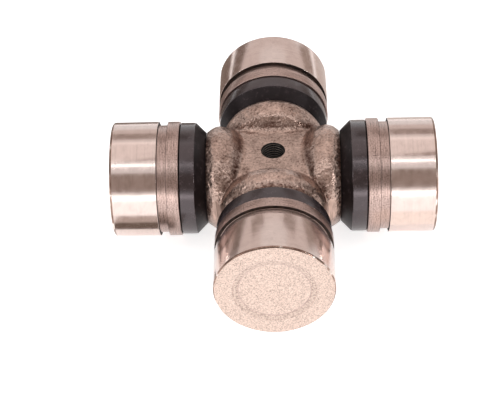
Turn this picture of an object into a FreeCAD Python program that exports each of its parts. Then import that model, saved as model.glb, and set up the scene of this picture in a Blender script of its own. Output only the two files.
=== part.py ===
import FreeCAD, Part

# Universal joint cross with four needle bearing cups, in millimetres.
# The origin is where the two trunnion axes cross. +X points to the right
# cup, -Y to the front cup, and +Z up through the grease hole.

import math
import os
import Sketcher

DOC = FreeCAD.newDocument("universal_joint_cross")
SHEET = DOC.addObject("Spreadsheet::Sheet", "Sizes")

# Driving dimensions. A place is a distance from the centre along a trunnion.
SIZES = [
    ("cup_radius", 19.0, "ground outside of a bearing cup"),
    ("cup_end_place", 53.0, "outer end of a cup, half the overall length"),
    ("cup_wall", 3.44, "wall of a cup round its raceway"),
    ("cup_floor_thickness", 3.0, "end wall of a cup"),
    ("cup_edge_chamfer", 0.55, "bevel round the end of a cup"),
    ("end_ring_width", 5.6, "raised ring round the dish in the end of a cup"),
    ("dish_slope_width", 2.2, "sloping edge of that dish"),
    ("dish_depth", 0.7, "depth of that dish"),
    ("rim_width", 4.05, "turned rim between a cup's mouth and its groove"),
    ("rim_drop", 0.04, "how much lower the turned rim lies than the ground side"),
    ("groove_width", 3.1, "width of the retaining groove"),
    ("groove_depth", 1.2, "depth of the retaining groove"),
    ("counterbore_step", 1.04, "step from the raceway out to the counterbore"),
    ("counterbore_depth", 3.2, "depth of the counterbore in a cup's mouth"),
    ("needle_diameter", 3.0, "one needle roller"),
    ("needle_clearance", 0.03, "radial play on each side of a needle"),
    ("needle_gap", 0.02, "least gap between two needles"),
    ("needle_end_play", 0.15, "play at each end of a needle"),
    ("journal_chamfer", 0.8, "bevel round the end of a trunnion"),
    ("seat_step", 1.5, "step from the journal up to the shoulder for the seal"),
    ("seat_length", 4.7, "length of that shoulder"),
    ("seat_run_out", 1.5, "length of the cone from the shoulder to the journal"),
    ("centre_step", 1.7, "step from a drilling out to the countersunk centre"),
    ("centre_half_angle", 30.0, "half angle of the countersunk centre, in degrees"),
    ("drilling_radius", 2.5, "grease drilling along a trunnion"),
    ("seal_set_back", 0.5, "how much smaller a seal is than its cup"),
    ("seal_nose_wall", 0.85, "wall of a seal at the small end of its taper"),
    ("seal_taper_length", 3.5, "length of the seal's taper"),
    ("seal_band_length", 4.7, "length of the seal's straight band"),
    ("seal_gap", 0.3, "gap between a seal and the forged boss"),
    ("seal_running_clearance", 0.15, "radial play of a seal on its shoulder"),
    ("seal_step_width", 0.35, "narrow step between a seal and the cup's rim"),
    ("seal_step_depth", 0.55, "depth of that step"),
    ("spigot_length", 2.0, "seal's spigot inside the cup"),
    ("spigot_clearance", 0.05, "radial play of spigot and needle retainer"),
    ("retainer_clearance", 0.4, "radial play of the needle retainer over the journal"),
    ("washer_thickness", 1.5, "thrust washer in the floor of a cup"),
    ("washer_clearance", 0.3, "radial play between washer and needles"),
    ("washer_hole_radius", 4.0, "hole in the thrust washer"),
    ("washer_play", 0.05, "play on each side of the thrust washer"),
    ("boss_face_place", 21.8, "end face of a forged boss"),
    ("boss_face_step", 1.2, "step from the seal's shoulder out to the boss's edge"),
    ("boss_nose_length", 3.4, "from the end face to the widest ring"),
    ("boss_bulge", 2.4, "how far the widest ring stands out from the edge"),
    ("boss_crown_length", 5.2, "from the widest ring to the inner crest"),
    ("boss_crown_fall", 1.7, "how much lower the crest lies than the widest ring"),
    ("boss_wall_length", 3.0, "from the inner crest to the boss's foot"),
    ("boss_foot_depth", 1.35, "how far the foot lies under the web's flat"),
    ("boss_round", 4.5, "rounding of the widest ring"),
    ("crest_round", 3.5, "rounding of the inner crest"),
    ("web_half_height", 11.55, "flat of the web above the trunnion axes"),
    ("web_flank_width", 6.0, "sloping flank of the web"),
    ("web_round", 19.0, "rounding between the web's flat and its flank"),
    ("web_edge_half_height", 3.4, "web at its outer edge"),
    ("web_edge_margin", 0.23, "how far the web's disc reaches past the land"),
    ("land_cut", 1.4, "how deep the trimmed land cuts into the widest ring"),
    ("land_corner_radius", 4.0, "round corner of the land between two bosses"),
    ("thread_minor_radius", 3.46, "M8 x 1 grease hole under its thread"),
    ("hole_bevel", 0.51, "bevel round the mouth of the grease hole"),
]

for row, (alias, value, note) in enumerate(SIZES, start=1):
    SHEET.set("A%d" % row, alias)
    SHEET.set("B%d" % row, str(value))
    SHEET.setAlias("B%d" % row, alias)
    SHEET.set("C%d" % row, note)
DOC.recompute()

# The four trunnions and how far each is turned about +Z from the right one.
SIDES = [("right", 0), ("back", 90), ("left", 180), ("front", 270)]

# Sizes that follow from the driving dimensions, as expressions.
S = "Sizes."


def join(*terms):
    """Sum or difference of sheet sizes and expressions, in brackets.

    A term that starts with a minus is taken away, and a plain word is an
    alias of the sheet.
    """
    text = ""
    for term in terms:
        sign, body = ("-", term[1:]) if term.startswith("-") else ("+", term)
        text += " " + sign + " " + (S + body if body.isidentifier() else body)
    return "(" + text.removeprefix(" + ") + ")"


CUP_RADIUS = join("cup_radius")
CUP_END = join("cup_end_place")
CUP_FLOOR = join(CUP_END, "-cup_floor_thickness")
RIM_RADIUS = join(CUP_RADIUS, "-rim_drop")
GROOVE_RADIUS = join(CUP_RADIUS, "-groove_depth")
RACEWAY_RADIUS = join(CUP_RADIUS, "-cup_wall")
COUNTERBORE_RADIUS = join(RACEWAY_RADIUS, "counterbore_step")
NEEDLE_RADIUS = S + "needle_diameter / 2"
PITCH_RADIUS = join(RACEWAY_RADIUS, "-needle_clearance", "-" + NEEDLE_RADIUS)
JOURNAL_RADIUS = join(PITCH_RADIUS, "-" + NEEDLE_RADIUS, "-needle_clearance")
SEAT_RADIUS = join(JOURNAL_RADIUS, "seat_step")
BOSS_FACE = join("boss_face_place")
SEAT_END = join(BOSS_FACE, "seat_length")
SEAL_START = join(BOSS_FACE, "seal_gap")
TAPER_END = join(SEAL_START, "seal_taper_length")
SEAL_STEP = join(TAPER_END, "seal_band_length")
CUP_MOUTH = join(SEAL_STEP, "seal_step_width")
SEAL_RADIUS = join(CUP_RADIUS, "-seal_set_back")
SEAL_BORE = join(SEAT_RADIUS, "seal_running_clearance")
SPIGOT_END = join(CUP_MOUTH, "spigot_length")
SPIGOT_RADIUS = join(COUNTERBORE_RADIUS, "-spigot_clearance")
COUNTERBORE_END = join(CUP_MOUTH, "counterbore_depth")
GROOVE_START = join(CUP_MOUTH, "rim_width")
GROOVE_END = join(GROOVE_START, "groove_width")
RETAINER_BORE = join(JOURNAL_RADIUS, "retainer_clearance")
NEEDLE_START = join(COUNTERBORE_END, "needle_end_play")
NEEDLE_LENGTH = join(CUP_FLOOR, "-needle_end_play", "-" + NEEDLE_START)
HALF_PITCH = join(NEEDLE_RADIUS, S + "needle_gap / 2")
NEEDLE_COUNT = "floor(180 deg / asin(" + HALF_PITCH + " / " + PITCH_RADIUS + "))"
WASHER_END = join(CUP_FLOOR, "-washer_play")
WASHER_START = join(WASHER_END, "-washer_thickness")
WASHER_RADIUS = join(JOURNAL_RADIUS, "needle_clearance", "-washer_clearance")
TRUNNION_END = join(WASHER_START, "-washer_play")
CENTRE_RADIUS = join("drilling_radius", "centre_step")
BOSS_FACE_RADIUS = join(SEAT_RADIUS, "boss_face_step")
WIDE_PLACE = join(BOSS_FACE, "-boss_nose_length")
WIDE_RADIUS = join(BOSS_FACE_RADIUS, "boss_bulge")
CREST_PLACE = join(WIDE_PLACE, "-boss_crown_length")
CREST_RADIUS = join(WIDE_RADIUS, "-boss_crown_fall")
FOOT_PLACE = join(CREST_PLACE, "-boss_wall_length")
FOOT_RADIUS = join("web_half_height", "-boss_foot_depth")
LAND_PLACE = join(WIDE_RADIUS, "-land_cut")
LAND_ARC_CENTRE = join(LAND_PLACE, "land_corner_radius")
WEB_EDGE_RADIUS = join(
    LAND_ARC_CENTRE + " * sqrt(2)", "-land_corner_radius", "web_edge_margin"
)
WEB_CORNER_RADIUS = join(WEB_EDGE_RADIUS, "-web_flank_width")
HOLE_RIM_RADIUS = join("thread_minor_radius", "hole_bevel")
BEYOND = "2 * " + WEB_EDGE_RADIUS


def number(expression):
    """Value of an expression in plain millimetres."""
    value = SHEET.evalExpression(expression)
    return float(getattr(value, "Value", value))


def plane_of(body, role):
    """One of the body's own origin planes or axes."""
    for feature in body.Origin.OriginFeatures:
        if feature.Role == role:
            return feature
    raise ValueError(role)


def new_body(label, angle=0.0):
    """An empty body, turned about +Z to its own trunnion."""
    body = DOC.addObject("PartDesign::Body", label)
    body.Label = label
    turn = FreeCAD.Rotation(FreeCAD.Vector(0, 0, 1), angle)
    body.Placement = FreeCAD.Placement(FreeCAD.Vector(0, 0, 0), turn)
    return body


def new_sketch(body, name, plane):
    """An empty sketch on one of the body's origin planes."""
    sketch = body.newObject("Sketcher::SketchObject", name)
    sketch.AttachmentSupport = [(plane_of(body, plane), "")]
    sketch.MapMode = "FlatFace"
    return sketch


def bind(sketch, kind, geometry, point, expression):
    """Hold one coordinate of a sketch point at an expression."""
    if expression == "0":
        axis = -2 if kind == "DistanceX" else -1
        sketch.addConstraint(Sketcher.Constraint("PointOnObject", geometry, point, axis))
        return
    index = sketch.addConstraint(
        Sketcher.Constraint(kind, -1, 1, geometry, point, number(expression))
    )
    sketch.setExpression("Constraints[%d]" % index, expression)


def cut_short(corner, toward, other, radius):
    """Where a rounding of a corner leaves the line that runs toward a point."""
    along = (toward - corner).normalize()
    aside = (other - corner).normalize()
    half_angle = along.getAngle(aside) / 2
    return corner + along * (radius / math.tan(half_angle))


def polygon(body, name, plane, corners):
    """Closed sketch whose corners are pairs of expressions.

    A third expression in a corner is the radius that rounds it.
    """
    sketch = new_sketch(body, name, plane)
    count = len(corners)
    points = [FreeCAD.Vector(number(c[0]), number(c[1]), 0) for c in corners]
    starts, ends = [], []
    for index, corner in enumerate(corners):
        here = points[index]
        before, after = points[index - 1], points[(index + 1) % count]
        if len(corner) == 3:
            radius = number(corner[2])
            ends.append(cut_short(here, before, after, radius))
            starts.append(cut_short(here, after, before, radius))
        else:
            ends.append(here)
            starts.append(here)
    for index in range(count):
        line = Part.LineSegment(starts[index], ends[(index + 1) % count])
        sketch.addGeometry(line, False)
    for index, corner in enumerate(corners):
        before = (index - 1) % count
        if len(corner) == 2:
            sketch.addConstraint(Sketcher.Constraint("Coincident", before, 2, index, 1))
            bind(sketch, "DistanceX", index, 1, corner[0])
            bind(sketch, "DistanceY", index, 1, corner[1])
        else:
            chord = (ends[index], starts[index])
            round_corner(sketch, before, index, points[index], chord, corner)
    return sketch


def round_corner(sketch, before, after, sharp, chord, corner):
    """Arc between two lines, tangent to both, with its sharp corner held."""
    radius = number(corner[2])
    middle = (chord[0] + chord[1]) * 0.5
    inward = (middle - sharp).normalize()
    centre_distance = math.hypot(radius, (chord[0] - sharp).Length)
    top = sharp + inward * (centre_distance - radius)
    arc = sketch.addGeometry(Part.Arc(chord[0], top, chord[1]), False)
    point = sketch.addGeometry(Part.Point(sharp), True)
    turns_left = (top - chord[0]).cross(chord[1] - top).z > 0
    first, second = (1, 2) if turns_left else (2, 1)
    sketch.addConstraint(Sketcher.Constraint("Tangent", before, 2, arc, first))
    sketch.addConstraint(Sketcher.Constraint("Tangent", arc, second, after, 1))
    sketch.addConstraint(Sketcher.Constraint("PointOnObject", point, 1, before))
    sketch.addConstraint(Sketcher.Constraint("PointOnObject", point, 1, after))
    bind(sketch, "DistanceX", point, 1, corner[0])
    bind(sketch, "DistanceY", point, 1, corner[1])
    held = sketch.addConstraint(Sketcher.Constraint("Radius", arc, radius))
    sketch.setExpression("Constraints[%d]" % held, corner[2])


def circle(body, name, plane, across, up, radius):
    """Sketch of one circle, its centre and radius given as expressions."""
    sketch = new_sketch(body, name, plane)
    middle = FreeCAD.Vector(number(across), number(up), 0)
    normal = FreeCAD.Vector(0, 0, 1)
    sketch.addGeometry(Part.Circle(middle, normal, number(radius)), False)
    bind(sketch, "DistanceX", 0, 3, across)
    bind(sketch, "DistanceY", 0, 3, up)
    index = sketch.addConstraint(Sketcher.Constraint("Radius", 0, number(radius)))
    sketch.setExpression("Constraints[%d]" % index, radius)
    return sketch


def turned(body, name, corners, plane="XY_Plane", axis="H_Axis"):
    """Solid turned about one of its sketch's axes from its half section."""
    sketch = polygon(body, name + "_section", plane, corners)
    feature = body.newObject("PartDesign::Revolution", name)
    feature.Profile = sketch
    feature.ReferenceAxis = (sketch, [axis])
    feature.Angle = 360.0
    body.Tip = feature
    return feature


def both_ways(body, name, sketch, length):
    """Solid that a sketch sweeps to both sides of its plane."""
    feature = body.newObject("PartDesign::Pad", name)
    feature.Profile = sketch
    feature.SideType = "Symmetric"
    feature.setExpression("Length", length)
    body.Tip = feature
    return feature


def around(body, name, feature, axis, count):
    """Equal copies of a feature round one of the body's axes."""
    pattern = body.newObject("PartDesign::PolarPattern", name)
    pattern.Originals = [feature]
    pattern.Axis = (plane_of(body, axis), [""])
    pattern.Angle = 360.0
    pattern.setExpression("Occurrences", count)
    body.Tip = pattern
    return pattern


def build_cup(side, angle):
    """Bearing cup: ground outside, retaining groove, dished end, raceway inside."""
    body = new_body("cup_" + side, angle)
    dish_edge = join(CUP_RADIUS, "-end_ring_width")
    dish_place = join(CUP_END, "-dish_depth")
    turned(body, "cup_wall_" + side, [
        (CUP_MOUTH, COUNTERBORE_RADIUS),
        (CUP_MOUTH, RIM_RADIUS),
        (GROOVE_START, RIM_RADIUS),
        (GROOVE_START, GROOVE_RADIUS),
        (GROOVE_END, GROOVE_RADIUS),
        (GROOVE_END, CUP_RADIUS),
        (join(CUP_END, "-cup_edge_chamfer"), CUP_RADIUS),
        (CUP_END, join(CUP_RADIUS, "-cup_edge_chamfer")),
        (CUP_END, dish_edge),
        (dish_place, join(dish_edge, "-dish_slope_width")),
        (dish_place, "0"),
        (CUP_FLOOR, "0"),
        (CUP_FLOOR, RACEWAY_RADIUS),
        (COUNTERBORE_END, RACEWAY_RADIUS),
        (COUNTERBORE_END, COUNTERBORE_RADIUS),
    ])
    return body


def build_seal(side, angle):
    """Rubber seal: tapered nose, band under the cup's rim, spigot in the cup."""
    body = new_body("seal_" + side, angle)
    step_radius = join(SEAL_RADIUS, "-seal_step_depth")
    turned(body, "seal_ring_" + side, [
        (SEAL_START, SEAL_BORE),
        (SEAL_START, join(SEAL_BORE, "seal_nose_wall")),
        (TAPER_END, SEAL_RADIUS),
        (SEAL_STEP, SEAL_RADIUS),
        (SEAL_STEP, step_radius),
        (CUP_MOUTH, step_radius),
        (CUP_MOUTH, SPIGOT_RADIUS),
        (SPIGOT_END, SPIGOT_RADIUS),
        (SPIGOT_END, SEAL_BORE),
    ])
    return body


def build_retainer(side, angle):
    """Flat steel ring that keeps the needles in, between seal and cup."""
    body = new_body("needle_retainer_" + side, angle)
    turned(body, "retainer_ring_" + side, [
        (SPIGOT_END, RETAINER_BORE),
        (SPIGOT_END, SPIGOT_RADIUS),
        (COUNTERBORE_END, SPIGOT_RADIUS),
        (COUNTERBORE_END, RETAINER_BORE),
    ])
    return body


def build_washer(side, angle):
    """Thrust washer between the end of a trunnion and the floor of its cup."""
    body = new_body("thrust_washer_" + side, angle)
    hole = join("washer_hole_radius")
    turned(body, "washer_ring_" + side, [
        (WASHER_START, hole),
        (WASHER_START, WASHER_RADIUS),
        (WASHER_END, WASHER_RADIUS),
        (WASHER_END, hole),
    ])
    return body


def build_needles(side, angle):
    """Full set of needle rollers, each a solid of its own, round one journal."""
    body = new_body("needles_" + side, angle)
    body.AllowCompound = True
    sketch = circle(body, "needle_section_" + side, "YZ_Plane", PITCH_RADIUS, "0",
                    NEEDLE_RADIUS)
    sketch.setExpression("AttachmentOffset.Base.z", NEEDLE_START)
    needle = body.newObject("PartDesign::Pad", "needle_" + side)
    needle.Profile = sketch
    needle.setExpression("Length", NEEDLE_LENGTH)
    around(body, "needle_ring_" + side, needle, "X_Axis", NEEDLE_COUNT)
    return body


def build_arm(side, angle):
    """One trunnion with its forged boss, from the centre outward."""
    body = new_body("arm_" + side, angle)
    centre_depth = S + "centre_step / tan(" + S + "centre_half_angle * 1 deg)"
    centre_bottom = join(TRUNNION_END, "-" + centre_depth)
    turned(body, "trunnion_" + side, [
        ("0", "0"),
        ("0", FOOT_RADIUS),
        (FOOT_PLACE, FOOT_RADIUS),
        (CREST_PLACE, CREST_RADIUS, S + "crest_round"),
        (WIDE_PLACE, WIDE_RADIUS, S + "boss_round"),
        (BOSS_FACE, BOSS_FACE_RADIUS),
        (BOSS_FACE, SEAT_RADIUS),
        (SEAT_END, SEAT_RADIUS),
        (join(SEAT_END, "seat_run_out"), JOURNAL_RADIUS),
        (join(TRUNNION_END, "-journal_chamfer"), JOURNAL_RADIUS),
        (TRUNNION_END, join(JOURNAL_RADIUS, "-journal_chamfer")),
        (TRUNNION_END, CENTRE_RADIUS),
        (centre_bottom, join("drilling_radius")),
        (centre_bottom, "0"),
    ])
    return body


def build_web():
    """Disc between the four bosses, flat round the grease hole."""
    top = S + "web_half_height"
    edge = S + "web_edge_half_height"
    body = new_body("web", 45)
    turned(body, "web_disc", [
        ("0", "-" + top),
        (WEB_CORNER_RADIUS, "-" + top, S + "web_round"),
        (WEB_EDGE_RADIUS, "-" + edge),
        (WEB_EDGE_RADIUS, edge),
        (WEB_CORNER_RADIUS, top, S + "web_round"),
        ("0", top),
    ], plane="XZ_Plane", axis="V_Axis")
    return body


def build_land_corner(side, angle):
    """Tool that trims the forging's flash square between two bosses."""
    body = new_body("land_corner_" + side, angle)
    outline = polygon(body, "land_outline_" + side, "XY_Plane", [
        (LAND_PLACE, LAND_PLACE, S + "land_corner_radius"),
        (BEYOND, LAND_PLACE),
        (BEYOND, BEYOND),
        (LAND_PLACE, BEYOND),
    ])
    both_ways(body, "land_trim_" + side, outline, BEYOND)
    return body


def build_drilling(name, plane):
    """Tool that drills both trunnions on one axis from end to end."""
    body = new_body(name)
    section = circle(body, name + "_section", plane, "0", "0", S + "drilling_radius")
    both_ways(body, name + "_bore", section, "2 * " + CUP_END)
    return body


def build_grease_hole():
    """Tool for the threaded hole from the web's top face to the drillings."""
    body = new_body("grease_hole")
    above = join("web_half_height", HOLE_RIM_RADIUS)
    turned(body, "grease_hole_bore", [
        ("0", "0"),
        (join("thread_minor_radius"), "0"),
        (join("thread_minor_radius"), join("web_half_height", "-hole_bevel")),
        (HOLE_RIM_RADIUS, join("web_half_height")),
        (HOLE_RIM_RADIUS, above),
        ("0", above),
    ], plane="XZ_Plane", axis="V_Axis")
    return body


def build_cross():
    """One forging: web, four bosses, four trunnions and the grease passages."""
    forged = DOC.addObject("Part::MultiFuse", "forging")
    forged.Shapes = [build_arm(side, angle) for side, angle in SIDES] + [build_web()]
    tools = DOC.addObject("Part::MultiFuse", "cross_tools")
    tools.Shapes = [build_land_corner(side, angle) for side, angle in SIDES] + [
        build_drilling("drilling_x", "YZ_Plane"),
        build_drilling("drilling_y", "XZ_Plane"),
        build_grease_hole(),
    ]
    cross = DOC.addObject("Part::Cut", "cross")
    cross.Base = forged
    cross.Tool = tools
    cross.Label = "cross"
    return cross


PIECES = [build_cross()]
for side_name, side_angle in SIDES:
    PIECES.append(build_cup(side_name, side_angle))
    PIECES.append(build_seal(side_name, side_angle))
    PIECES.append(build_retainer(side_name, side_angle))
    PIECES.append(build_washer(side_name, side_angle))
    PIECES.append(build_needles(side_name, side_angle))
DOC.recompute()

for item in DOC.Objects:
    if "Invalid" in item.State or "Error" in item.State:
        raise RuntimeError("failed: " + item.Name + " " + str(item.State))

os.makedirs("parts", exist_ok=True)
for piece in PIECES:
    if piece.Shape.isNull() or not piece.Shape.isValid():
        raise RuntimeError("bad shape: " + piece.Label)
    print(piece.Label, len(piece.Shape.Solids), round(piece.Shape.Volume, 1))
    piece.Shape.exportStep("parts/" + piece.Label + ".step")
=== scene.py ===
import math

import bmesh
import bpy
import numpy as np
from bpy.props import FloatProperty, FloatVectorProperty, IntProperty, PointerProperty
from mathutils import Matrix, Vector


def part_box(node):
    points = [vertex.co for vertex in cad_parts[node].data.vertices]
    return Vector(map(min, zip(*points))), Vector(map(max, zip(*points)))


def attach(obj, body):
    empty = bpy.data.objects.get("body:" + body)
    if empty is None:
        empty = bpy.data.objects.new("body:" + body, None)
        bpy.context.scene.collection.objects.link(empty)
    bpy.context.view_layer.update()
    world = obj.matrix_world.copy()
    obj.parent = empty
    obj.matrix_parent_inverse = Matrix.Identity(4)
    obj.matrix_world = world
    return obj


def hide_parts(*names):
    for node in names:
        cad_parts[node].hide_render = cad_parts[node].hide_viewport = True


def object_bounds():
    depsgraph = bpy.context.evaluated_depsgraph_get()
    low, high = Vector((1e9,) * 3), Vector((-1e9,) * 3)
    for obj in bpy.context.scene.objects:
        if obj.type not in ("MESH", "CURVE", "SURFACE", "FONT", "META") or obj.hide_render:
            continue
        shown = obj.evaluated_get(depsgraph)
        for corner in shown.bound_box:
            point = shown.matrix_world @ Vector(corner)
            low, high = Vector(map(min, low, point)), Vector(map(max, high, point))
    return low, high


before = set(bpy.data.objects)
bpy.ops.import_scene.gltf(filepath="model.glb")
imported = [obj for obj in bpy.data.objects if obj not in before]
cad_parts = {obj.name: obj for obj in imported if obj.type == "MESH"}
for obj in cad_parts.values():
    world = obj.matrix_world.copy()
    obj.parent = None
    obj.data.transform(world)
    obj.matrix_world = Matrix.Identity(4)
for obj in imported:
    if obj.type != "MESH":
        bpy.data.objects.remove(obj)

bl_info = {
    "name": "Universal Joint Cross",
    "version": (1, 0, 0),
    "blender": (4, 5, 0),
    "location": "View3D > Sidebar > Joint Cross",
    "description": "Dresses a universal joint cross with needle bearing cups",
    "category": "Object",
}

# Lengths in this file are millimetres until a mesh is filled.
MM = 0.001

# The four trunnions and their turn about +Z from the right one, in degrees.
SIDES = {"right": 0, "back": 90, "left": 180, "front": 270}

# The solid model's box, taken before anything is added.
SOLID_BOX = [list(corner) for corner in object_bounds()]


def node_span(node, axis):
    """Lowest and highest place of a node along one axis, in millimetres."""
    low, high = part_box(node)
    return low[axis] / MM, high[axis] / MM


CUP_MOUTH, CUP_END = node_span("cup_right", 0)
CUP_RADIUS = node_span("cup_right", 2)[1]
SEAL_START, SEAL_END = node_span("seal_right", 0)
SEAL_RADIUS = node_span("seal_right", 2)[1]
RETAINER_END = node_span("needle_retainer_right", 0)[1]
RACEWAY_RADIUS = node_span("needles_right", 2)[1] + 0.03
WASHER_END = node_span("thrust_washer_right", 0)[1]
TRUNNION_END = node_span("cross", 0)[1]

# Sizes of the solid model that no box gives, along and about a trunnion axis.
SEAT_START, SEAT_END, SEAT_RADIUS = 20.8, 26.5, 14.0
JOURNAL_START, JOURNAL_RADIUS = 28.0, 12.5
DRILLING_RADIUS = 2.5
GROOVE_START, GROOVE_END, GROOVE_RADIUS = 34.7, 37.8, 17.8
MOUTH_BORE = 16.6
SEAL_BORE, SEAL_NECK_RADIUS = 14.15, 16.55


def linear(hex_colour):
    """Linear RGBA of an sRGB hex colour."""
    parts = [int(hex_colour[i:i + 2], 16) / 255 for i in (1, 3, 5)]
    out = [c / 12.92 if c <= 0.04045 else ((c + 0.055) / 1.055) ** 2.4 for c in parts]
    return (out[0], out[1], out[2], 1.0)


class CrossSizes(bpy.types.PropertyGroup):
    """Sizes of the joint cross that a user would change, in millimetres."""

    boss_face: FloatProperty(
        name="Boss face", description="End face of a forged boss from the centre",
        default=21.8)
    land: FloatProperty(
        name="Trimmed land", description="Flat left where the flash was cut",
        default=16.2)
    land_corner: FloatProperty(
        name="Land corner", description="Radius of the land between two bosses",
        default=4.0)
    forging_fillet: FloatProperty(
        name="Forging fillet", description="Reach of the blend between web and boss",
        default=5.0)
    web_height: FloatProperty(
        name="Web height", description="Flat of the web above the trunnion axes",
        default=11.55)
    thread_radius: FloatProperty(
        name="Thread radius", description="Outer radius of the grease hole's thread",
        default=4.0)
    thread_pitch: FloatProperty(
        name="Thread pitch", description="Pitch of the grease hole's thread",
        default=1.0)
    edge_round: FloatProperty(
        name="Edge rounding", description="Radius on the machined edges",
        default=0.12)
    turn_steps: IntProperty(
        name="Steps round", description="Faces round a turned piece", default=192)


class CrossColours(bpy.types.PropertyGroup):
    """Colours of the joint cross."""

    ground: FloatVectorProperty(
        name="Ground steel", description="Ground outside of the cups",
        subtype="COLOR", size=4, min=0, max=1, default=linear("#D6C3BC"))
    end_face: FloatVectorProperty(
        name="End face", description="Matt end of the cups",
        subtype="COLOR", size=4, min=0, max=1, default=linear("#C9B2A6"))
    turned: FloatVectorProperty(
        name="Turned steel", description="Rim and retaining groove",
        subtype="COLOR", size=4, min=0, max=1, default=linear("#B09890"))
    forging: FloatVectorProperty(
        name="Forging", description="Shot-blasted forged skin",
        subtype="COLOR", size=4, min=0, max=1, default=linear("#AB9287"))
    rubber: FloatVectorProperty(
        name="Seal rubber", description="Moulded nitrile rubber",
        subtype="COLOR", size=4, min=0, max=1, default=linear("#272021"))
    polished: FloatVectorProperty(
        name="Bearing steel", description="Needles and retainer rings",
        subtype="COLOR", size=4, min=0, max=1, default=linear("#D2CECA"))
    nylon: FloatVectorProperty(
        name="Washer nylon", description="Thrust washers",
        subtype="COLOR", size=4, min=0, max=1, default=linear("#DDD5BE"))


def sizes():
    """The scene's size settings."""
    return bpy.context.scene.cross_sizes


def colours():
    """The scene's colour settings."""
    return bpy.context.scene.cross_colours


# Shapes

def rounded_profile(corners, steps=5):
    """Points of a chain of straight lines whose corners are rounded by arcs.

    Each corner is (place, radius, rounding, finish). A rounding of r puts an
    arc of radius r that touches both lines. The finish belongs to the line
    that leaves the corner, and the arc takes it too.
    """
    points, finishes = [], []
    last = len(corners) - 1
    for index, (place, radius, rounding, finish) in enumerate(corners):
        here = np.array([place, radius])
        if rounding == 0 or index in (0, last):
            points.append(here)
            finishes.append(finish)
            continue
        before = np.array(corners[index - 1][:2]) - here
        after = np.array(corners[index + 1][:2]) - here
        before, after = before / np.linalg.norm(before), after / np.linalg.norm(after)
        half = math.acos(np.clip(before @ after, -1, 1)) / 2
        reach = rounding / math.tan(half)
        centre = here + (before + after) / np.linalg.norm(before + after) * (
            rounding / math.sin(half))
        first, final = here + before * reach - centre, here + after * reach - centre
        sweep = math.pi - 2 * half
        turn = np.sign(first[0] * final[1] - first[1] * final[0])
        for angle in np.linspace(0, sweep * turn, steps):
            c, s = math.cos(angle), math.sin(angle)
            points.append(centre + [c * first[0] - s * first[1], s * first[0] + c * first[1]])
            finishes.append(finish)
    return np.array(points), finishes


def grid_faces(rows, columns):
    """Quads that join neighbouring points of a grid whose rows close."""
    i, j = np.meshgrid(np.arange(rows - 1), np.arange(columns), indexing="ij")
    i, j = i.ravel(), j.ravel()
    k, n = i + 1, (j + 1) % columns
    return np.stack([i * columns + j, i * columns + n, k * columns + n, k * columns + j], 1)


def mesh_piece(name, points, faces, materials, slots=None, uv=None, sharp=35.0):
    """A mesh object of points in millimetres, seams and poles closed.

    Points that coincide are merged, collapsed faces dropped, normals turned
    outward, and edges sharper than the given angle kept crisp.
    """
    mesh = bpy.data.meshes.new(name)
    mesh.vertices.add(len(points))
    mesh.vertices.foreach_set("co", (np.asarray(points) * MM).ravel())
    mesh.loops.add(faces.size)
    mesh.loops.foreach_set("vertex_index", faces.ravel().astype(np.int32))
    mesh.polygons.add(len(faces))
    mesh.polygons.foreach_set("loop_start", np.arange(0, faces.size, 4, dtype=np.int32))
    mesh.polygons.foreach_set("use_smooth", np.ones(len(faces), dtype=bool))
    if slots is not None:
        mesh.polygons.foreach_set("material_index", np.asarray(slots, dtype=np.int32))
    if uv is not None:
        layer = mesh.uv_layers.new(name="UVMap")
        layer.data.foreach_set("uv", np.asarray(uv, dtype=np.float32).ravel())
    mesh.update(calc_edges=True)
    work = bmesh.new()
    work.from_mesh(mesh)
    bmesh.ops.remove_doubles(work, verts=work.verts, dist=1e-7)
    bmesh.ops.dissolve_degenerate(work, edges=work.edges, dist=1e-8)
    bmesh.ops.recalc_face_normals(work, faces=work.faces)
    work.to_mesh(mesh)
    work.free()
    mesh.set_sharp_from_angle(angle=math.radians(sharp))
    for material in materials:
        mesh.materials.append(material)
    piece = bpy.data.objects.new(name, mesh)
    bpy.context.scene.collection.objects.link(piece)
    return piece


def turned_about(points, degrees):
    """Points turned about +Z."""
    c, s = math.cos(math.radians(degrees)), math.sin(math.radians(degrees))
    x, y, z = points[:, 0], points[:, 1], points[:, 2]
    return np.stack([c * x - s * y, s * x + c * y, z], 1)


def turned_piece(name, corners, side, finishes, closed=False):
    """A profile carried round the trunnion axis, then turned to its side.

    The point at place p, radius r and angle a is (p, r sin a, r cos a). The
    UV map holds the length round at the piece's widest and the length along
    the profile, both in millimetres.
    """
    chain = list(corners)
    if closed:
        chain = chain + [chain[0]]
    profile, labels = rounded_profile(chain)
    count = sizes().turn_steps
    angle = np.linspace(0, 2 * math.pi, count, endpoint=False)
    place, radius = profile[:, 0], profile[:, 1]
    x = np.repeat(place[:, None], count, 1)
    y = radius[:, None] * np.sin(angle)[None, :]
    z = radius[:, None] * np.cos(angle)[None, :]
    points = turned_about(np.stack([x.ravel(), y.ravel(), z.ravel()], 1), SIDES[side])
    faces = grid_faces(len(profile), count)
    along = np.concatenate([[0], np.cumsum(np.linalg.norm(np.diff(profile, axis=0), axis=1))])
    row, column = faces // count, faces % count
    wrapped = np.where((column == 0) & (column[:, [0]] == count - 1), count, column)
    uv = np.stack([wrapped / count * 2 * math.pi * radius.max(), along[row]], -1)
    names = list(finishes)
    per_row = np.array([names.index(label) for label in labels[:-1]])
    slots = np.repeat(per_row, count)
    return mesh_piece(name, points, faces, [finishes[n] for n in names], slots, uv)


def boss_profile():
    """Radius of a forged boss against the distance from the centre."""
    corners = [
        (8.0, 6.02, 0, ""), (13.2, 15.9, 3.5, ""), (18.4, 17.6, 4.5, ""),
        (sizes().boss_face, 15.2, 0, ""),
    ]
    return rounded_profile(corners, 24)[0]


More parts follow.
